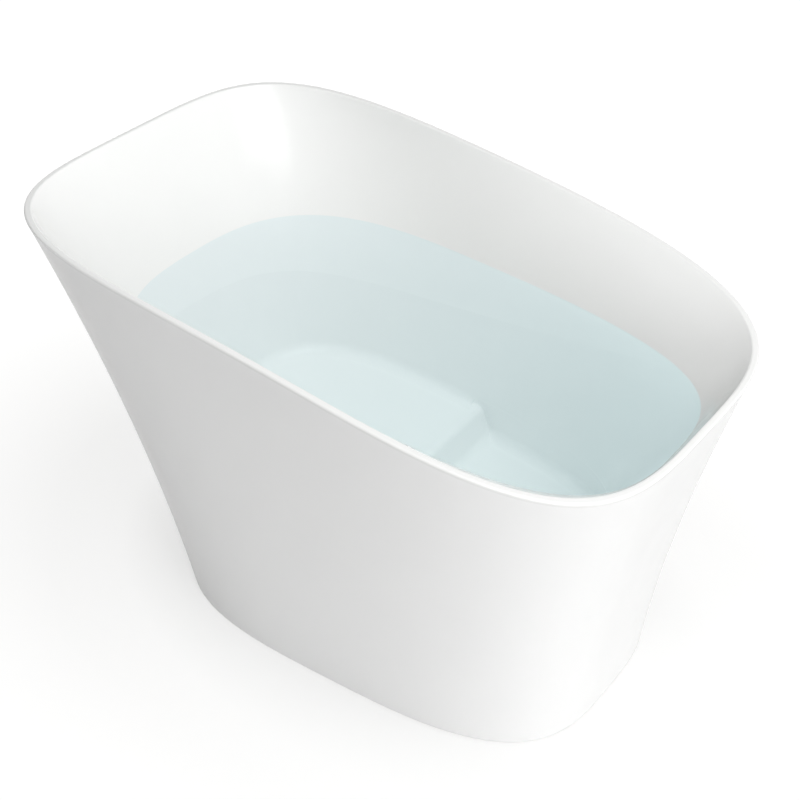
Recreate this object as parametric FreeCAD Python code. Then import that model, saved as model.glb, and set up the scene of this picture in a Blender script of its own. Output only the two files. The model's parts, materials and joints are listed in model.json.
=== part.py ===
# Freestanding soaking bathtub: two bonded shells on a levelling frame, with waste and overflow.
# Millimetres. X runs along the length, foot end at +X. Y runs across. Z is up, with the floor at Z = 0.

import FreeCAD, Part
import math
import os

V = FreeCAD.Vector
UP = V(0, 0, 1)

# Overall size of the rim
LENGTH = 1300.0
WIDTH = 835.0
BACK_RIM = 847.0
MID_RIM = 799.0
FOOT_RIM = 690.0
RIM_T = 12.0

# Outline of the skirt at the floor
BASE_LENGTH = 946.0
BASE_WIDTH = 627.0
BASE_SHIFT = 58.0
BASE_TAPER = -0.00016
BASE_N_BACK = 3.0
BASE_N_FOOT = 3.35
RIM_TAPER = -0.00004
RIM_N_BACK = 4.2
RIM_N_FOOT = 3.7

# Share of straight flare in the outer wall, the rest is curved
FLARE_BACK = 0.80
FLARE_FOOT = 0.44
FLARE_SIDE = 0.43

# Inside of the basin
FLOOR_Z = 65.0
SEAT_Z = 155.0
FLOOR_BACK_X = -370.0
FLOOR_FOOT_X = 450.0
FLOOR_WIDTH = 412.0
BATH_TAPER = -0.00016
BATH_WAIST = -0.00024
BATH_N = 2.7
FLOOR_SQUARING = 1.0
RIM_BLEND = 8
FLOOR_BLEND = 6
BATH_LEAN_BACK = 0.105
SEAT_FOOT_X = 105.0
SEAT_DRAFT = 15.6
SEAT_EDGE_R = 15.0
SEAT_EDGE_TURN = 75.0
SEAT_LEAD_OUT = 4.0
BASIN_R = 25.0
WELL_STEP = 0.4
WELL_OVER = 10.0

# Shell thickness
BASIN_T = 5.0
SKIRT_T = 5.0
LIP_H = 9.0
RIM_EDGE_R = 3.5
BEAD_H = 16.0
SKIRT_GAP = 2.0

# Frame of square tube
RAIL = 25.0
RAIL_WALL = 2.0
RAIL_Z = 22.0
RAIL_TOP = RAIL_Z + RAIL
RAIL_BACK_X = -280.0
RAIL_MID_X = 110.0
RAIL_FOOT_X = 400.0
LONG_RAIL_Y = 120.0
RAIL_PAST_FOOT = 25.0
BLOCK_W = 40.0
SEAT_BOARD_T = 12.0
SEAT_BOARD_BACK = -340.0
SEAT_BOARD_FOOT = 60.0
SEAT_BOARD_W = 370.0
SEAT_LEG_X = (-230.0, 20.0)
FLOOR_BOARD_FOOT = 430.0
FLOOR_BOARD_W = 340.0

# Levelling feet
FOOT_Y = 212.0
PAD_R = 25.0
PAD_H = 8.0
PAD_FLOOR = 4.0
STUD_R = 6.0
STUD_TOP = 66.0
BUSH_R = 10.0
NUT_FLATS = 18.0
NUT_H = 7.0
NUT_Z = 12.0

# Waste fitting in the footwell
DRAIN_X = 260.0
TAIL_R = 21.0
TAIL_BORE = 18.0
TAIL_END = 44.0
FLANGE_R = 35.0
FLANGE_T = 3.0
GASKET_T = 1.0
GASKET_INSET = 1.0
TAIL_HOLE_GAP = 1.0
UNDER_GASKET_T = 3.0
DRAIN_NUT_FLATS = 62.0
DRAIN_NUT_H = 8.0
BODY_R = 27.0
BODY_BOTTOM = 17.0
BODY_FLOOR = 3.0
SPIGOT_R = 20.0
SPIGOT_BORE = 17.0
SPIGOT_END = 2.0
RELIEF_H = 2.0
RELIEF_DEPTH = 1.0
PORT_Z = 32.0
PORT_BORE = 11.0
PORT_REACH = 56.0
PIPE_STOP = 4.0
PIPE_END_GAP = 1.0
HUB_R = 8.0
HUB_H = 8.0
HUB_RISE = 4.0
ARM_W = 4.0
CAP_R = 30.0
CAP_T = 4.0
CAP_EDGE_T = 2.0
SEAL_R = 26.0
SEAL_BORE = 20.5
SEAL_T = 3.0
STEM_R = 4.0
STEM_END = 40.0
BOARD_HOLE_R = 46.0

# Overflow in the near side wall
OVERFLOW_Z = 645.0
OVERFLOW_BORE = 17.0
COVER_R = 32.0
COVER_T = 5.0
COVER_GAP = 6.0
COVER_EDGE_R = 1.5
POST_R = 3.0
ELBOW_R = 20.0
ELBOW_FLANGE_R = 29.0
ELBOW_FLANGE_T = 4.0
ELBOW_DEPTH = 32.0
ELBOW_WALL = 3.0
OVERFLOW_SEAL_T = 3.0
SCREW_R = 3.0
PIPE_R = 13.0
PIPE_WALL = 2.0
PIPE_LOW_Y = -250.0
PIPE_BEND = 45.0
SOCKET_R = 14.5
SOCKET_L = 34.0

# Clearance between pieces that move against each other
PLAY = 0.3

# Sampling of the moulded surfaces
AROUND = 64
LEVELS = 8
ROUND_STEPS = 6
TOP_OVER = 60.0

BOARD_T = FLOOR_Z - BASIN_T - RAIL_TOP
FLANGE_TOP = FLOOR_Z + GASKET_T + FLANGE_T
SLOPE = (FOOT_RIM - BACK_RIM) / LENGTH
CROWN = ((BACK_RIM + FOOT_RIM) / 2.0 - MID_RIM) / (LENGTH / 2.0) ** 2


# Rim height along the length, falling towards the foot end
def rim_z(x):
    return MID_RIM + SLOPE * x + CROWN * x * x


# Sloping plane that clears the highest part of the rim
def top_z(x):
    return (BACK_RIM + FOOT_RIM) / 2.0 + TOP_OVER + SLOPE * x


# Point i of a rounded oblong outline
def ring_point(i, shift, length, width, taper, n_back, n_foot):
    a = 2.0 * math.pi * i / AROUND
    c = math.cos(a)
    s = math.sin(a)
    n = n_foot if c >= 0.0 else n_back
    r = (abs(c) ** n + abs(s) ** n) ** (-1.0 / n)
    dx = 0.5 * length * r * c
    return shift + dx, 0.5 * width * r * s * (1.0 + taper * dx)


def ring(*outline):
    return [ring_point(i, *outline) for i in range(AROUND)]


def ring_wire(points):
    curve = Part.BSplineCurve()
    params = [i / float(AROUND) for i in range(AROUND + 1)]
    curve.interpolate(Points=points, Parameters=params, PeriodicFlag=True)
    return Part.Wire([curve.toShape()])


# Outer wall at ring position i and share u of the rim height
def outer_paths(inset):
    cut = 2.0 * inset
    base = ring(BASE_SHIFT, BASE_LENGTH - cut, BASE_WIDTH - cut, BASE_TAPER, BASE_N_BACK, BASE_N_FOOT)
    rim = ring(0.0, LENGTH - cut, WIDTH - cut, RIM_TAPER, RIM_N_BACK, RIM_N_FOOT)

    def at(i, u):
        c = math.cos(2.0 * math.pi * i / AROUND)
        lin = 0.5 * (FLARE_FOOT + FLARE_BACK) + 0.5 * (FLARE_FOOT - FLARE_BACK) * c
        gx = lin * u + (1.0 - lin) * u * u
        gy = FLARE_SIDE * u + (1.0 - FLARE_SIDE) * u * u
        x = base[i][0] + (rim[i][0] - base[i][0]) * gx
        y = base[i][1] + (rim[i][1] - base[i][1]) * gy
        return V(x, y, u * rim_z(rim[i][0]))

    return at


# Basin wall at ring position i and share u of the height from floor to rim.
# The waist is full two thirds of the way up and fades to nothing at the floor and the rim.
def inner_paths(inset):
    edge = 2.0 * (RIM_T + inset)
    rim = ring(0.0, LENGTH - edge, WIDTH - edge, RIM_TAPER, RIM_N_BACK, RIM_N_FOOT)
    rim_end = 0.5 * LENGTH - RIM_T

    def at(i, u):
        bow = u * u
        near_rim = u ** RIM_BLEND
        near_middle = 27.0 / 4.0 * bow * (1.0 - u)
        near_floor = FLOOR_SQUARING * max(1.0 - u, 0.0) ** FLOOR_BLEND
        lean = BATH_LEAN_BACK * u + (1.0 - BATH_LEAN_BACK) * bow
        back = FLOOR_BACK_X - (FLOOR_BACK_X + rim_end) * lean + inset
        foot = FLOOR_FOOT_X + (rim_end - FLOOR_FOOT_X) * bow - inset
        width = FLOOR_WIDTH + (WIDTH - 2.0 * RIM_T - FLOOR_WIDTH) * bow - 2.0 * inset
        taper = BATH_TAPER + (RIM_TAPER - BATH_TAPER) * near_rim + BATH_WAIST * near_middle
        n_back = BATH_N + (RIM_N_BACK - BATH_N) * near_rim + near_floor
        n_foot = BATH_N + (RIM_N_FOOT - BATH_N) * near_rim + near_floor
        x, y = ring_point(i, 0.5 * (back + foot), foot - back, width, taper, n_back, n_foot)
        return V(x, y, FLOOR_Z + u * (rim_z(rim[i][0]) - FLOOR_Z))

    return at


# Solid below the sloping plane, lofted from a level start height
def moulded(at, start):
    wires = []
    for k in range(LEVELS + 1):
        share = k / float(LEVELS)
        points = []
        for i in range(AROUND):
            zero = at(i, 0.0).z
            rise = at(i, 1.0).z - zero
            u = (start - zero) / rise
            points.append(at(i, u + (1.0 - u) * share))
        wires.append(ring_wire(points))
    points = []
    for i in range(AROUND):
        zero = at(i, 0.0).z
        rise = at(i, 1.0).z - zero
        u = 1.0
        for step in range(12):
            u = (top_z(at(i, u).x) - zero) / rise
        spot = at(i, u)
        points.append(V(spot.x, spot.y, top_z(spot.x)))
    wires.append(ring_wire(points))
    return Part.makeLoft(wires, True, False)


def level_points(at, z):
    points = []
    for i in range(AROUND):
        zero = at(i, 0.0).z
        rise = at(i, 1.0).z - zero
        spot = at(i, (z - zero) / rise)
        points.append(V(spot.x, spot.y, z))
    return points


# Solid with level sections between two heights
def level_loft(at, low, high, steps):
    wires = []
    for k in range(steps + 1):
        wires.append(ring_wire(level_points(at, low + (high - low) * k / float(steps))))
    return Part.makeLoft(wires, True, False)


# Rounded foot of a wall, from a level floor up to the start of the plain wall
def rounded_foot(wall_inset, floor, r):
    wires = []
    for k in range(ROUND_STEPS + 1):
        a = 0.5 * math.pi * k / ROUND_STEPS
        z = floor + r * (1.0 - math.cos(a))
        at = inner_paths(wall_inset + r * (1.0 - math.sin(a)))
        wires.append(ring_wire(level_points(at, z)))
    return Part.makeLoft(wires, True, False)


# Everything under the rim line, shifted by dz
def under_rim(dz):
    half = 0.75 * LENGTH
    left = V(-half, -WIDTH, rim_z(-half) + dz)
    right = V(half, -WIDTH, rim_z(half) + dz)
    slope_left = SLOPE - 2.0 * CROWN * half
    pole = V(0.0, -WIDTH, left.z + slope_left * half)
    curve = Part.BezierCurve()
    curve.setPoles([left, pole, right])
    low_right = V(half, -WIDTH, -100.0)
    low_left = V(-half, -WIDTH, -100.0)
    edges = [curve.toShape(), Part.makeLine(right, low_right)]
    edges.append(Part.makeLine(low_right, low_left))
    edges.append(Part.makeLine(low_left, left))
    return Part.Face(Part.Wire(edges)).extrude(V(0, 2.0 * WIDTH, 0))


def box(x0, x1, y0, y1, z0, z1):
    return Part.makeBox(x1 - x0, y1 - y0, z1 - z0, V(x0, y0, z0))


def rod(r, start, direction, length):
    return Part.makeCylinder(r, length, start, direction)


def ring_solid(r, bore, x, y, z0, z1):
    return rod(r, V(x, y, z0), UP, z1 - z0).cut(rod(bore, V(x, y, z0 - 1.0), UP, z1 - z0 + 2.0))


def hex_nut(flats, bore, x, y, z0, z1):
    r = flats / math.sqrt(3.0)
    points = []
    for i in range(7):
        a = math.pi / 3.0 * i
        points.append(V(x + r * math.cos(a), y + r * math.sin(a), z0))
    nut = Part.Face(Part.makePolygon(points)).extrude(V(0, 0, z1 - z0))
    return nut.cut(rod(bore, V(x, y, z0 - 1.0), UP, z1 - z0 + 2.0))


# Space in front of the seat, seen from the side, with the rounded seat edge
def well_side(offset):
    r = SEAT_EDGE_R - offset
    a0 = math.radians(SEAT_DRAFT)
    a1 = math.radians(SEAT_EDGE_TURN)
    am = 0.5 * (a0 + a1)
    low = FLOOR_Z - offset
    cz = SEAT_Z - SEAT_EDGE_R
    run = (cz + SEAT_EDGE_R * math.sin(a0) - FLOOR_Z) * math.tan(a0)
    cx = SEAT_FOOT_X - run - SEAT_EDGE_R * math.cos(a0)

    def on_arc(a):
        return V(cx + r * math.cos(a), -WIDTH, cz + r * math.sin(a))

    start = on_arc(a0)
    end = on_arc(a1)
    foot = V(start.x + (start.z - low) * math.tan(a0), -WIDTH, low)
    inner_r = BASIN_R + offset
    back = inner_r * math.tan(0.5 * (0.5 * math.pi - a0))
    on_floor = V(foot.x + back, -WIDTH, low)
    on_front = V(foot.x - back * math.sin(a0), -WIDTH, low + back * math.cos(a0))
    hollow = V(on_floor.x, -WIDTH, low + inner_r)
    toward = (foot - hollow).normalize()
    out = V(end.x - SEAT_LEAD_OUT * math.tan(a1), -WIDTH, end.z + SEAT_LEAD_OUT)
    top = SEAT_Z + TOP_OVER
    corners = [V(out.x, -WIDTH, top), V(LENGTH, -WIDTH, top), V(LENGTH, -WIDTH, low), on_floor]
    edges = [Part.Arc(on_floor, hollow + toward * inner_r, on_front).toShape()]
    edges.append(Part.makeLine(on_front, start))
    edges.append(Part.Arc(start, on_arc(am), end).toShape())
    edges.append(Part.makeLine(end, out))
    last = out
    for corner in corners:
        edges.append(Part.makeLine(last, corner))
        last = corner
    return Part.Face(Part.Wire(edges)).extrude(V(0, 2.0 * WIDTH, 0))


def rim_edges(shape):
    found = []
    for edge in shape.Edges:
        spots = [v.Point for v in edge.Vertexes] + [edge.valueAt(0.5 * sum(edge.ParameterRange))]
        if all(abs(p.z - rim_z(p.x)) < 0.2 for p in spots):
            found.append(edge)
    return found


# Round pipe along a bent line of two legs
def bent_pipe(r, start, corner, end, bend):
    a = (start - corner).normalize()
    b = (end - corner).normalize()
    half = 0.5 * a.getAngle(b)
    back = bend / math.tan(half)
    p = corner + a * back
    q = corner + b * back
    mid_dir = (a + b).normalize()
    centre = corner + mid_dir * (bend / math.sin(half))
    middle = centre - mid_dir * bend
    path = Part.Wire([Part.makeLine(start, p), Part.Arc(p, middle, q).toShape(), Part.makeLine(q, end)])
    circle = Part.Wire([Part.makeCircle(r, start, a * -1.0)])
    return path.makePipeShell([circle], True, False)


os.makedirs("parts", exist_ok=True)


def save(name, shape):
    shape.exportStep("parts/" + name + ".step")


# Moulded surfaces
hull = moulded(outer_paths(0.0), 0.0)
hull_inside = moulded(outer_paths(SKIRT_T), 0.0)
bath = moulded(inner_paths(0.0), SEAT_Z + BASIN_R)
bath = bath.fuse(rounded_foot(0.0, SEAT_Z, BASIN_R))
bath_back = moulded(inner_paths(-BASIN_T), SEAT_Z - BASIN_T)
well_top = SEAT_Z + BASIN_R + WELL_OVER
well = level_loft(inner_paths(WELL_STEP), FLOOR_Z + BASIN_R, well_top, 3)
well = well.fuse(rounded_foot(WELL_STEP, FLOOR_Z, BASIN_R)).common(well_side(0.0))
well_back = level_loft(inner_paths(WELL_STEP - BASIN_T), FLOOR_Z - BASIN_T, well_top, 3)
well_back = well_back.common(well_side(BASIN_T))
under_lip = under_rim(-LIP_H)

# Overflow position on the near side wall
def near_wall_y(x, z):
    probe = Part.makeLine(V(x, -WIDTH, z), V(x, 0, z)).common(bath)
    return min(v.Y for v in probe.Vertexes)


wall_at = V(DRAIN_X, near_wall_y(DRAIN_X, OVERFLOW_Z), OVERFLOW_Z)
step = 0.5 * COVER_R
lean_x = near_wall_y(DRAIN_X + step, OVERFLOW_Z) - near_wall_y(DRAIN_X - step, OVERFLOW_Z)
lean_z = near_wall_y(DRAIN_X, OVERFLOW_Z + step) - near_wall_y(DRAIN_X, OVERFLOW_Z - step)
into = V(-lean_x, 2.0 * step, -lean_z).normalize()
out_of = into * -1.0

# Basin with its lip
lip = hull.common(under_rim(0.0)).cut(under_lip).cut(bath)
lip = lip.makeFillet(RIM_EDGE_R, rim_edges(lip))
wall = bath_back.cut(bath).common(under_lip).cut(well)
footwell = well_back.cut(well).cut(bath)
basin = wall.fuse(footwell).fuse(lip)
basin = basin.cut(rod(TAIL_R + TAIL_HOLE_GAP, V(DRAIN_X, 0, 0), UP, SEAT_Z))
basin = basin.cut(rod(OVERFLOW_BORE, wall_at + out_of * 30.0, into, 60.0))
save("inner_basin", basin)

# Skirt, with its top edge under the lip
skirt = hull.cut(hull_inside).common(under_lip)
skirt = skirt.cut(box(-LENGTH, LENGTH, -WIDTH, WIDTH, -10.0, SKIRT_GAP))
save("outer_skirt", skirt)

# Bond between the two shells just under the lip
bead = hull_inside.common(under_lip).cut(under_rim(-LIP_H - BEAD_H)).cut(bath_back)
save("rim_bond_bead", bead)

# Cross rails with holes for the foot bushes
rail_half = FOOT_Y + RAIL_PAST_FOOT
rail_names = (("back", RAIL_BACK_X), ("mid", RAIL_MID_X), ("foot", RAIL_FOOT_X))
for name, x in rail_names:
    rail = box(x - RAIL / 2, x + RAIL / 2, -rail_half, rail_half, RAIL_Z, RAIL_TOP)
    inside = RAIL / 2 - RAIL_WALL
    low = RAIL_Z + RAIL_WALL
    rail = rail.cut(box(x - inside, x + inside, -rail_half, rail_half, low, RAIL_TOP - RAIL_WALL))
    if name != "mid":
        for y in (-FOOT_Y, FOOT_Y):
            rail = rail.cut(rod(BUSH_R, V(x, y, 0), UP, 100.0))
    save("rail_" + name, rail)
    for side, sign in (("near", -1.0), ("far", 1.0)):
        y0 = sign * rail_half
        y1 = sign * WIDTH / 2
        block = box(x - BLOCK_W / 2, x + BLOCK_W / 2, min(y0, y1), max(y0, y1), RAIL_Z, RAIL_TOP)
        save("skirt_block_" + name + "_" + side, block.common(hull_inside))

# Long rails and seat legs
for side, sign in (("near", -1.0), ("far", 1.0)):
    y = sign * LONG_RAIL_Y
    x0 = RAIL_BACK_X + RAIL / 2
    x1 = RAIL_MID_X - RAIL / 2
    inside = RAIL / 2 - RAIL_WALL
    rail = box(x0, x1, y - RAIL / 2, y + RAIL / 2, RAIL_Z, RAIL_TOP)
    rail = rail.cut(box(x0, x1, y - inside, y + inside, RAIL_Z + RAIL_WALL, RAIL_TOP - RAIL_WALL))
    save("rail_long_" + side, rail)
    for end, x in zip(("back", "foot"), SEAT_LEG_X):
        top = SEAT_Z - BASIN_T - SEAT_BOARD_T
        leg = box(x - RAIL / 2, x + RAIL / 2, y - RAIL / 2, y + RAIL / 2, RAIL_TOP, top)
        leg = leg.cut(box(x - inside, x + inside, y - inside, y + inside, RAIL_TOP, top))
        save("seat_leg_" + end + "_" + side, leg)

# Boards under the seat and the footwell
half = SEAT_BOARD_W / 2
seat_under = SEAT_Z - BASIN_T
save("seat_board", box(SEAT_BOARD_BACK, SEAT_BOARD_FOOT, -half, half, seat_under - SEAT_BOARD_T, seat_under))
half = FLOOR_BOARD_W / 2
board = box(RAIL_MID_X - RAIL / 2, FLOOR_BOARD_FOOT, -half, half, RAIL_TOP, RAIL_TOP + BOARD_T)
save("floor_board", board.cut(rod(BOARD_HOLE_R, V(DRAIN_X, 0, 0), UP, 100.0)))

# Levelling feet
for end, x in (("back", RAIL_BACK_X), ("foot", RAIL_FOOT_X)):
    for side, y in (("near", -FOOT_Y), ("far", FOOT_Y)):
        tag = end + "_" + side
        pad = rod(PAD_R, V(x, y, 0), UP, PAD_H)
        pad = pad.cut(rod(STUD_R + PLAY, V(x, y, PAD_FLOOR), UP, PAD_H))
        save("foot_pad_" + tag, pad)
        save("foot_stud_" + tag, rod(STUD_R, V(x, y, PAD_FLOOR + PLAY), UP, STUD_TOP - PAD_FLOOR - PLAY))
        save("foot_nut_" + tag, hex_nut(NUT_FLATS, STUD_R, x, y, NUT_Z, NUT_Z + NUT_H))
        save("foot_bush_" + tag, ring_solid(BUSH_R, STUD_R + PLAY, x, y, RAIL_Z, RAIL_TOP))

# Waste fitting
save("drain_gasket_top", ring_solid(FLANGE_R - GASKET_INSET, TAIL_R, DRAIN_X, 0, FLOOR_Z, FLOOR_Z + GASKET_T))
flange = rod(FLANGE_R, V(DRAIN_X, 0, FLOOR_Z + GASKET_T), UP, FLANGE_T)
flange = flange.fuse(rod(TAIL_R, V(DRAIN_X, 0, TAIL_END), UP, FLOOR_Z + GASKET_T - TAIL_END))
flange = flange.cut(rod(TAIL_BORE, V(DRAIN_X, 0, 0), UP, 200.0))
hub_z = TAIL_END + HUB_RISE
spider = rod(HUB_R, V(DRAIN_X, 0, hub_z), UP, HUB_H)
for k in range(3):
    arm = box(DRAIN_X, DRAIN_X + TAIL_BORE + 1.0, -ARM_W / 2, ARM_W / 2, hub_z, hub_z + HUB_H)
    arm.rotate(V(DRAIN_X, 0, 0), UP, 120.0 * k)
    spider = spider.fuse(arm)
spider = spider.cut(rod(STEM_R + PLAY, V(DRAIN_X, 0, 0), UP, 200.0))
save("drain_flange", flange.fuse(spider))
under = FLOOR_Z - BASIN_T
gasket_r = FLANGE_R - GASKET_INSET
save("drain_gasket_under", ring_solid(gasket_r, TAIL_R, DRAIN_X, 0, under - UNDER_GASKET_T, under))
nut_top = under - UNDER_GASKET_T
nut_low = nut_top - DRAIN_NUT_H
save("drain_lock_nut", hex_nut(DRAIN_NUT_FLATS, TAIL_R, DRAIN_X, 0, nut_low, nut_top))
body = rod(BODY_R, V(DRAIN_X, 0, BODY_BOTTOM), UP, nut_low - BODY_BOTTOM)
body = body.fuse(rod(SPIGOT_R, V(DRAIN_X, 0, SPIGOT_END), UP, BODY_BOTTOM - SPIGOT_END))
relief_z = BODY_BOTTOM - RELIEF_H
body = body.cut(ring_solid(BODY_R, SPIGOT_R - RELIEF_DEPTH, DRAIN_X, 0, relief_z, BODY_BOTTOM))
body = body.fuse(rod(SOCKET_R, V(DRAIN_X, -PORT_REACH, PORT_Z), V(0, 1, 0), PORT_REACH))
body = body.cut(rod(TAIL_R, V(DRAIN_X, 0, BODY_BOTTOM + BODY_FLOOR), UP, 100.0))
body = body.cut(rod(SPIGOT_BORE, V(DRAIN_X, 0, 0), UP, 50.0))
body = body.cut(rod(PORT_BORE, V(DRAIN_X, -PORT_REACH, PORT_Z), V(0, 1, 0), PORT_REACH))
port_seat = BODY_R + PIPE_STOP
body = body.cut(rod(PIPE_R, V(DRAIN_X, -PORT_REACH, PORT_Z), V(0, 1, 0), PORT_REACH - port_seat))
save("drain_body", body)

# Stopper
seal_z = FLANGE_TOP + PLAY
save("stopper_seal", ring_solid(SEAL_R, SEAL_BORE, DRAIN_X, 0, seal_z, seal_z + SEAL_T))
cap_z = seal_z + SEAL_T
cap = rod(CAP_R, V(DRAIN_X, 0, cap_z), UP, CAP_T)
cap_rim = [e for e in cap.Edges if abs(e.BoundBox.ZMin - cap_z - CAP_T) < 0.01]
save("stopper_cap", cap.makeFillet(CAP_T - CAP_EDGE_T, cap_rim))
save("stopper_stem", rod(STEM_R, V(DRAIN_X, 0, STEM_END), UP, cap_z - STEM_END))

# Overflow
seal_back = wall_at + out_of * (BASIN_T + OVERFLOW_SEAL_T)
seal = rod(ELBOW_FLANGE_R, seal_back, into, OVERFLOW_SEAL_T + 0.6 * BASIN_T)
seal = seal.cut(rod(OVERFLOW_BORE, seal_back + out_of, into, 20.0))
seal = seal.cut(basin).cut(bath)
save("overflow_seal", seal)
elbow_end = seal_back + out_of * ELBOW_DEPTH
elbow = rod(ELBOW_FLANGE_R, seal_back, out_of, ELBOW_FLANGE_T)
elbow = elbow.fuse(rod(ELBOW_R, seal_back, out_of, ELBOW_DEPTH))
pipe_top = seal_back + out_of * (ELBOW_DEPTH / 2)
pipe_low = V(DRAIN_X, PIPE_LOW_Y, PORT_Z)
down = (pipe_low - pipe_top).normalize()
elbow = elbow.fuse(rod(SOCKET_R, pipe_top, down, SOCKET_L + ELBOW_R))
elbow = elbow.cut(rod(OVERFLOW_BORE, seal_back + into, out_of, ELBOW_DEPTH - ELBOW_WALL + 1.0))
elbow = elbow.cut(rod(PIPE_R - PIPE_WALL, pipe_top, down, SOCKET_L))
elbow = elbow.cut(rod(PIPE_R, pipe_top + down * ELBOW_R, down, SOCKET_L + 1.0))
pipe_start = pipe_top + down * (ELBOW_R + PIPE_STOP)
pipe_end = V(DRAIN_X, -port_seat - PIPE_END_GAP, PORT_Z)
elbow = elbow.cut(rod(SCREW_R, elbow_end + out_of, into, ELBOW_WALL + 2.0))
save("overflow_elbow", elbow)
pipe = bent_pipe(PIPE_R, pipe_start, pipe_low, pipe_end, PIPE_BEND)
pipe = pipe.cut(bent_pipe(PIPE_R - PIPE_WALL, pipe_start, pipe_low, pipe_end, PIPE_BEND))
save("overflow_pipe", pipe)
cover_at = wall_at + into * COVER_GAP
cover = rod(COVER_R, cover_at, into, COVER_T)
cover = cover.makeFillet(COVER_EDGE_R, [e for e in cover.Edges if e.Length > 4.0 * COVER_R])
across = into.cross(UP).normalize()
for k in range(3):
    a = 2.0 * math.pi * k / 3.0
    side = across * math.cos(a) + into.cross(across) * math.sin(a)
    post_at = wall_at + side * (COVER_R - 2.0 * POST_R)
    cover = cover.fuse(rod(POST_R, post_at + out_of * (0.4 * BASIN_T), into, COVER_GAP + BASIN_T).cut(basin))
cover = cover.cut(rod(SCREW_R, cover_at + out_of, into, COVER_T + 2.0))
save("overflow_cover", cover)
screw = rod(SCREW_R, elbow_end, into, (cover_at - elbow_end).dot(into) + COVER_T)
save("overflow_screw", screw)

for name, shape in (("basin", basin), ("skirt", skirt), ("bead", bead), ("cover", cover), ("seal", seal)):
    print(name, shape.isValid(), len(shape.Solids), round(shape.Volume / 1000.0), "cm3")
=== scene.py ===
# %% [markdown]
# A freestanding soaking bathtub, finished for a picture.
# The tub has two moulded acrylic shells: a basin that the bather sits in, and a skirt that hides
# the frame, the feet and the plumbing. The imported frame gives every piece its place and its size,
# so this lesson only looks after surfaces, light and the camera.

# %% Load the frame
import bpy
import json
import math
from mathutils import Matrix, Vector

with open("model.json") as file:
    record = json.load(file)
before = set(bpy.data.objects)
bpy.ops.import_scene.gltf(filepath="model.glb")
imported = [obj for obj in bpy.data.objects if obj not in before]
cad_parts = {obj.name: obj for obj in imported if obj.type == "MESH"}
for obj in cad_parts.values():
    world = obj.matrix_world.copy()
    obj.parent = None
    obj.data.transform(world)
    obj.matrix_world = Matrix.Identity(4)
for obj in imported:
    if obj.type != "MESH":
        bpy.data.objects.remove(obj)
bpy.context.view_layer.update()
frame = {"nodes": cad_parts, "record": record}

# %% [markdown]
# The picture is taken from the foot end, a little over head height for a person who stands a few
# steps away. A longer lens keeps the rim from spreading. The camera could be aimed with a tracking
# constraint, but a fixed rotation is simpler to read and to repeat.

# %% Camera
look_at = Vector((-0.029, 0.069, 0.4075))
camera_at = Vector((1.342, -1.784, 2.126))

camera_data = bpy.data.cameras.new("photo_camera")
camera_data.sensor_fit = "HORIZONTAL"
camera_data.sensor_width = 36.0
camera_data.lens = 64.7
camera = bpy.data.objects.new("photo_camera", camera_data)
camera.location = camera_at
camera.rotation_mode = "QUATERNION"
camera.rotation_quaternion = (look_at - camera_at).to_track_quat("-Z", "Y")
bpy.context.collection.objects.link(camera)
bpy.context.scene.camera = camera
print("camera distance:", round((look_at - camera_at).length, 3))

# %% [markdown]
# Shaders are sums: a bit of noise, scaled, added to a base value. Drawing those sums as boxes and
# wires hides what they mean, so a small class wraps one socket and lets Python's own signs build
# the nodes. Every other node comes from one method, which sets the node up first and then fills or
# links its sockets.

# %% Shader helpers
class Signal:
    def __init__(self, finish, socket):
        self.finish = finish
        self.socket = socket

    def sign(self, operation, first, second):
        return self.finish.node("ShaderNodeMath", {"operation": operation}, {0: first, 1: second})

    def __add__(self, other):
        return self.sign("ADD", self, other)

    def __radd__(self, other):
        return self.sign("ADD", other, self)

    def __mul__(self, other):
        return self.sign("MULTIPLY", self, other)

    def __rmul__(self, other):
        return self.sign("MULTIPLY", other, self)


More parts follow.
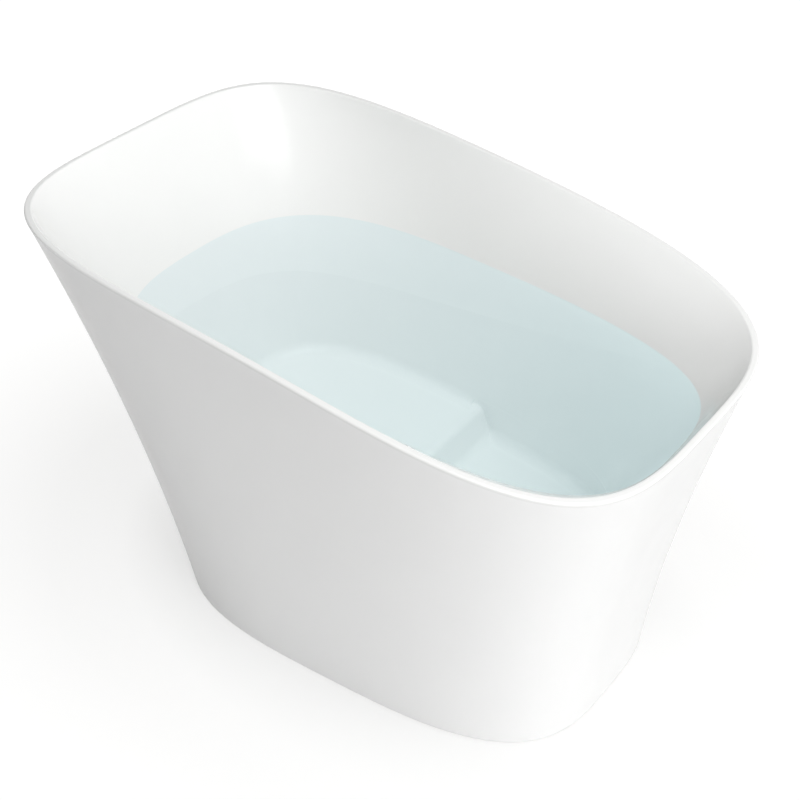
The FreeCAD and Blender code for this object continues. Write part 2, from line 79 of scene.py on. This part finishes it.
class Finish:
    def __init__(self, name, world=None):
        self.material = world or bpy.data.materials.new(name)
        self.material.use_nodes = True
        self.tree = self.material.node_tree
        self.tree.nodes.clear()
        ending = "ShaderNodeOutputWorld" if world else "ShaderNodeOutputMaterial"
        self.output = self.tree.nodes.new(ending)

    def node(self, kind, settings=None, values=None, out=None):
        made = self.tree.nodes.new(kind)
        for key, value in (settings or {}).items():
            setattr(made, key, value)
        for key, value in (values or {}).items():
            self.fill(self.pick(made.inputs, key), value)
        return Signal(self, self.pick(made.outputs, 0 if out is None else out))

    def pick(self, sockets, key):
        shown = [s for s in sockets if s.enabled]
        if isinstance(key, int):
            return shown[key]
        return next(s for s in shown if s.name == key)

    def fill(self, socket, value):
        if isinstance(value, Signal):
            self.tree.links.new(value.socket, socket)
        elif isinstance(value, tuple) and len(value) == 3 and socket.type == "RGBA":
            socket.default_value = (*value, 1.0)
        else:
            socket.default_value = value

    def place(self):
        return self.node("ShaderNodeTexCoord", out="Object")

    def noise(self, scale, detail=2.0, stretch=None):
        where = self.place()
        if stretch:
            where = self.node("ShaderNodeMapping", values={"Vector": where, "Scale": stretch})
        grain = {"Vector": where, "Scale": scale, "Detail": detail}
        return self.node("ShaderNodeTexNoise", values=grain)

    def mix(self, factor, first, second):
        ends = {"Factor": factor, "A": first, "B": second}
        return self.node("ShaderNodeMix", {"data_type": "RGBA"}, ends)

    def ramp(self, value, start, stop, low, high):
        ends = {"Value": value, "From Min": start, "From Max": stop, "To Min": low, "To Max": high}
        return self.node("ShaderNodeMapRange", values=ends)

    def bump(self, height, strength, distance):
        relief = {"Height": height, "Strength": strength, "Distance": distance}
        return self.node("ShaderNodeBump", values=relief)

    def blend(self, share, first, second):
        return self.node("ShaderNodeMixShader", values={0: share, 1: first, 2: second})

    def rays(self, *kinds):
        return [self.node("ShaderNodeLightPath", out="Is %s Ray" % kind) for kind in kinds]

    def show(self, shader):
        self.tree.links.new(shader.socket, self.output.inputs["Surface"])
        return self.material

    def surface(self, **values):
        named = {key.replace("_", " "): value for key, value in values.items()}
        return self.show(self.node("ShaderNodeBsdfPrincipled", values=named))


print("helpers ready")

# %% [markdown]
# Sanitary acrylic is white, glossy and very even, but never perfect: the sheet is drawn over a
# mould, so its thickness and its gloss drift a little over a hand's breadth, and the surface has a
# slow ripple. Wide, weak noise gives both. A clear coat would double the highlight, so a single
# gloss layer is used.

# %% White acrylic
def white_acrylic(name, pale, deep, gloss, shine):
    finish = Finish(name)
    drift = finish.noise(2.2, 3.0)
    cloud = finish.noise(9.0, 2.0)
    ripple = finish.noise(14.0, 1.0)
    colour = finish.mix(drift * 0.7 + cloud * 0.3, pale, deep)
    return finish.surface(
        Base_Color=colour,
        Roughness=gloss + 0.06 * cloud,
        IOR=1.49,
        Specular_IOR_Level=shine,
        Normal=finish.bump(ripple, 0.04, 0.002),
    )


basin_pale, basin_deep = (0.905, 0.908, 0.897), (0.875, 0.880, 0.873)
skirt_pale, skirt_deep = (0.930, 0.931, 0.928), (0.900, 0.902, 0.902)
basin_white = white_acrylic("basin_acrylic", basin_pale, basin_deep, gloss=0.16, shine=0.3)
skirt_white = white_acrylic("skirt_acrylic", skirt_pale, skirt_deep, gloss=0.22, shine=0.1)
print(basin_white.name, skirt_white.name)

# %% [markdown]
# The hidden pieces have workshop finishes. Chrome and zinc are metals with a little haze, rubber is
# dull with a fine grain, plywood has long grain and thin layers, and the waste fittings are plain
# moulded plastic. Each one gets its own noise at the scale that the real finish has.

# %% Workshop finishes
def bright_metal(name, colour, dark, haze, spread):
    finish = Finish(name)
    smear = finish.noise(40.0, 3.0)
    return finish.surface(
        Base_Color=finish.mix(smear, colour, dark),
        Metallic=1.0,
        Roughness=haze + spread * smear,
    )


def dull_rubber(name, colour, worn):
    finish = Finish(name)
    grain = finish.noise(600.0, 2.0)
    dust = finish.noise(25.0, 3.0)
    return finish.surface(
        Base_Color=finish.mix(dust, colour, worn),
        Roughness=0.55 + 0.25 * dust,
        Normal=finish.bump(grain, 0.3, 0.0003),
    )


def moulded_plastic(name, colour, shade, gloss):
    finish = Finish(name)
    flow = finish.noise(30.0, 2.0)
    grain = finish.noise(500.0, 1.0)
    return finish.surface(
        Base_Color=finish.mix(flow, colour, shade),
        Roughness=gloss + 0.12 * flow,
        Normal=finish.bump(grain, 0.15, 0.0002),
    )


def birch_plywood(name):
    finish = Finish(name)
    grain = finish.noise(60.0, 4.0, (0.12, 1.0, 1.0))
    layers = finish.node(
        "ShaderNodeTexWave",
        {"wave_type": "BANDS", "bands_direction": "Z"},
        {"Vector": finish.place(), "Scale": 130.0, "Distortion": 0.6},
        "Fac",
    )
    light = finish.mix(grain, (0.66, 0.49, 0.31), (0.50, 0.34, 0.19))
    return finish.surface(
        Base_Color=finish.mix(layers * 0.3, light, (0.36, 0.23, 0.12)),
        Roughness=0.55 + 0.2 * grain,
        Normal=finish.bump(grain, 0.25, 0.0006),
    )


def primed_steel(name):
    finish = Finish(name)
    patch = finish.noise(18.0, 4.0)
    peel = finish.noise(260.0, 1.0)
    return finish.surface(
        Base_Color=finish.mix(patch, (0.30, 0.32, 0.33), (0.23, 0.245, 0.255)),
        Roughness=0.42 + 0.15 * patch,
        Normal=finish.bump(peel, 0.2, 0.0004),
    )


finishes = {
    "chrome_trim": bright_metal("bright_chrome", (0.8, 0.81, 0.82), (0.72, 0.73, 0.75), 0.04, 0.08),
    "stud_steel": bright_metal("zinc_steel", (0.62, 0.63, 0.64), (0.47, 0.48, 0.50), 0.25, 0.2),
    "brass_stem": bright_metal("turned_brass", (0.70, 0.52, 0.24), (0.58, 0.41, 0.18), 0.16, 0.15),
    "seal_rubber": dull_rubber("seal_rubber", (0.030, 0.030, 0.032), (0.055, 0.054, 0.052)),
    "foot_rubber": dull_rubber("foot_rubber", (0.036, 0.036, 0.038), (0.075, 0.073, 0.070)),
    "waste_plastic": moulded_plastic("waste_plastic", (0.74, 0.75, 0.74), (0.66, 0.67, 0.66), 0.3),
    "adhesive": moulded_plastic("cured_adhesive", (0.78, 0.77, 0.72), (0.70, 0.69, 0.64), 0.5),
    "plywood": birch_plywood("birch_plywood"),
    "frame_steel": primed_steel("primed_steel"),
    "acrylic": basin_white,
}
print("finishes:", len(finishes))

# %% [markdown]
# The record says which finish each node takes, so the finishes are handed out from there. The skirt
# is the one exception: it is of the same acrylic, but the outside is a shade paler and less glossy.

# %% Hand out the finishes
slots = {part["node"]: part["material_slot"] for part in frame["record"]["subparts"]}
for name, node in frame["nodes"].items():
    look = skirt_white if name == "outer_skirt" else finishes[slots[name]]
    node.data.materials.clear()
    node.data.materials.append(look)
print("dressed nodes:", len(slots))

# %% [markdown]
# A studio floor that runs on into a pale backdrop has no horizon. The floor here is a large plane,
# and the world behind it is white to the camera. The floor is paper with a glow mixed in that only
# the camera, mirrors and glass see. Close to the tub there is less glow, which paints a soft
# contact shadow on the floor around the base. Far off there is more glow, so the paper stays white
# and the lamps' shadow stays on it.
#
# The light that the room sends is another matter. It comes mostly from the foot end, so the near
# side grows darker towards the back. Mirrors see the white backdrop at eye height and the dimmer
# room overhead, which is why the wall shows as a paler band in the water.

# %% Floor and world
backdrop_white = (1.0, 1.0, 0.995)
room_strength = 0.80


def pale_floor(name):
    finish = Finish(name)
    fibre = finish.noise(3.0, 2.0)
    tone = finish.mix(fibre, (0.94, 0.94, 0.935), (0.92, 0.92, 0.915))
    paper = finish.node("ShaderNodeBsdfDiffuse", values={"Color": tone})
    glow = finish.node("ShaderNodeEmission", values={"Color": backdrop_white, "Strength": 1.065})
    squeezed = {"Vector": finish.place(), "Location": (-0.058, 0.0, 0.0), "Scale": (1.0, 1.5, 0.0)}
    spot = finish.node("ShaderNodeMapping", values=squeezed)
    away = finish.node("ShaderNodeVectorMath", {"operation": "LENGTH"}, {0: spot}, "Value")
    # Close to the tub the glow share drops: this paints a soft contact shadow on the floor around
    # the base.
    near = finish.ramp(away, 0.50, 0.72, 0.56, 0.74)
    far = finish.ramp(away, 0.90, 1.70, 0.0, 0.26)
    seen, gloss, through = finish.rays("Camera", "Glossy", "Transmission")
    share = (near + far) * (seen + gloss + through)
    return finish.show(finish.blend(share, paper, glow))


floor_mesh = bpy.data.meshes.new("studio_floor")
reach = 14.0
corners = [(-reach, -reach, 0), (reach, -reach, 0), (reach, reach, 0), (-reach, reach, 0)]
floor_mesh.from_pydata(corners, [], [(0, 1, 2, 3)])
floor = bpy.data.objects.new("studio_floor", floor_mesh)
floor_mesh.materials.append(pale_floor("pale_floor"))
bpy.context.collection.objects.link(floor)


def studio_room(world):
    room = Finish(world.name, world)
    heading = {0: room.node("ShaderNodeTexCoord", out="Generated")}
    across, up = [room.node("ShaderNodeSeparateXYZ", values=heading, out=axis) for axis in "XZ"]

    def background(colour, strength):
        return room.node("ShaderNodeBackground", values={"Color": colour, "Strength": strength})

    dim = background((1.0, 1.0, 1.0), 0.0)
    bright = background((1.0, 1.0, 1.0), room_strength)
    white = background(backdrop_white, 1.0)
    seen, gloss, through = room.rays("Camera", "Glossy", "Transmission")
    light = room.blend(0.5 + 0.5 * across, dim, bright)
    mirrored = gloss * room.ramp(up, 0.25, 0.60, 1.0, 0.1)
    return room.show(room.blend(seen + mirrored + through, light, white))


bpy.context.scene.world = studio_room(bpy.data.worlds.new("studio_world"))
print("floor reach:", reach)

# %% [markdown]
# Three soft boxes add to the room light. The key box stands low, off the near foot corner, and
# gives the slow fall of tone along the near side. The box overhead reaches down to the seat, and a
# weak one behind the tub fills the far side. Small lamps would put hard edges on the shell.

# %% Lamps
def soft_box(name, at, aim, wide, power):
    lamp_data = bpy.data.lights.new(name, "AREA")
    lamp_data.shape = "SQUARE"
    lamp_data.size = wide
    lamp_data.energy = power
    lamp = bpy.data.objects.new(name, lamp_data)
    lamp.location = at
    lamp.rotation_mode = "QUATERNION"
    lamp.rotation_quaternion = (Vector(aim) - Vector(at)).to_track_quat("-Z", "Y")
    bpy.context.collection.objects.link(lamp)
    return lamp


tub_middle = (0.0, 0.0, 0.4)
key = soft_box("key_box", (3.5, -2.4, 0.9), tub_middle, wide=1.4, power=37.0)
overhead = soft_box("overhead_box", (1.3, -0.4, 3.6), tub_middle, wide=2.4, power=64.0)
fill = soft_box("back_fill", (-3.2, 2.6, 0.55), tub_middle, wide=1.6, power=10.0)
print("lamps:", key.name, overhead.name, fill.name)

# %% [markdown]
# The bath is full in the picture. Water isn't a piece of the tub, so it belongs to the stage with
# the floor. It is a closed body with a level top. Its sides follow the wall of the basin and reach
# a few millimetres into the acrylic, so there is no air gap. The shader bends the view but lets
# light pass, as clear water does. Over the glass lies a pale bluish glow, a painted light that
# brightens the sunken walls and gives them the blue of deep water. It grows bluer towards the foot
# end.

# %% Water
water_level, water_bottom, into_wall = 0.6125, 0.058, 0.005
rings, around_ring = 25, 192
# The second number is the share of a painted glow laid over the water glass.
water_bend, painted_glow_share = 1.333, 0.37
rim_length, rim_width, rim_edge = 1.300, 0.835, 0.012
rim_heights = (0.847, 0.799, 0.690)
floor_z, floor_back, floor_foot, floor_width = 0.065, -0.370, 0.450, 0.412
rim_taper, rim_n_back, rim_n_foot = -0.04, 4.2, 3.7
wall_taper, taper_at_rim, taper_at_middle = -0.16, 0.12, -0.24
wall_n, n_back_at_rim, n_foot_at_rim = 2.7, 1.5, 1.0
back_lean, back_bow = 0.105, 0.895


def rim_height(x):
    back, mid, foot = rim_heights
    share = 2.0 * x / rim_length
    return mid + 0.5 * (foot - back) * share + (0.5 * (back + foot) - mid) * share * share


def oblong(angle, shift, length, width, taper, n_back, n_foot):
    c, s = math.cos(angle), math.sin(angle)
    n = n_foot if c >= 0.0 else n_back
    r = (abs(c) ** n + abs(s) ** n) ** (-1.0 / n)
    dx = 0.5 * length * r * c
    return shift + dx, 0.5 * width * r * s * (1.0 + taper * dx)


def wall_point(angle, z, grow):
    end, inner_width = 0.5 * rim_length - rim_edge, rim_width - 2.0 * rim_edge
    rim_x, _ = oblong(angle, 0.0, 2.0 * end, inner_width, rim_taper, rim_n_back, rim_n_foot)
    u = (z - floor_z) / (rim_height(rim_x) - floor_z)
    bow, near_rim, near_floor = u * u, u ** 8, max(1.0 - u, 0.0) ** 6
    near_middle = 6.75 * bow * (1.0 - u)
    back = floor_back - (floor_back + end) * (back_lean * u + back_bow * bow) - grow
    foot = floor_foot + (end - floor_foot) * bow + grow
    width = floor_width + (inner_width - floor_width) * bow + 2.0 * grow
    taper = wall_taper + taper_at_rim * near_rim + taper_at_middle * near_middle
    n_back = wall_n + n_back_at_rim * near_rim + near_floor
    n_foot = wall_n + n_foot_at_rim * near_rim + near_floor
    x, y = oblong(angle, 0.5 * (back + foot), foot - back, width, taper, n_back, n_foot)
    return x, y, z


def level_body(name, levels, around, grow):
    points = []
    for z in levels:
        for i in range(around):
            points.append(wall_point(2.0 * math.pi * i / around, z, grow))
    faces = [tuple(reversed(range(around)))]
    for k in range(len(levels) - 1):
        for i in range(around):
            j = (i + 1) % around
            low, high = k * around, (k + 1) * around
            faces.append((low + i, low + j, high + j, high + i))
    top = (len(levels) - 1) * around
    faces.append(tuple(range(top, top + around)))
    mesh = bpy.data.meshes.new(name)
    mesh.from_pydata(points, [], faces)
    body = bpy.data.objects.new(name, mesh)
    bpy.context.collection.objects.link(body)
    return body


def clear_water(name):
    finish = Finish(name)
    bend = {"Color": (0.97, 0.995, 0.99), "Roughness": 0.0, "IOR": water_bend}
    glass = finish.node("ShaderNodeBsdfGlass", values=bend)
    clear = finish.node("ShaderNodeBsdfTransparent", values={"Color": (0.95, 0.985, 0.98)})
    shadow, diffuse = finish.rays("Shadow", "Diffuse")
    along = finish.node("ShaderNodeSeparateXYZ", values={0: finish.place()}, out="X")
    # The emission below is a painted glow over the water: bluish light that no lamp sends, bluer
    # towards the foot end.
    painted_glow_colour = finish.mix(0.5 + along, (0.69, 0.79, 0.84), (0.66, 0.90, 0.95))
    painted_water_glow = finish.node("ShaderNodeEmission", values={"Color": painted_glow_colour, "Strength": 1.0})
    glass_under_painted_glow = finish.blend(painted_glow_share, glass, painted_water_glow)
    return finish.show(finish.blend(shadow + diffuse, glass_under_painted_glow, clear))


depth = water_level - water_bottom
levels = [water_bottom + depth * k / (rings - 1) for k in range(rings)]
water = level_body("bath_water", levels, around_ring, into_wall)
water.data.materials.append(clear_water("clear_water"))
print("water level:", water_level)

# %% [markdown]
# Last, the view transform is set to Standard.

# %% View transform
bpy.context.scene.view_settings.view_transform = "Standard"
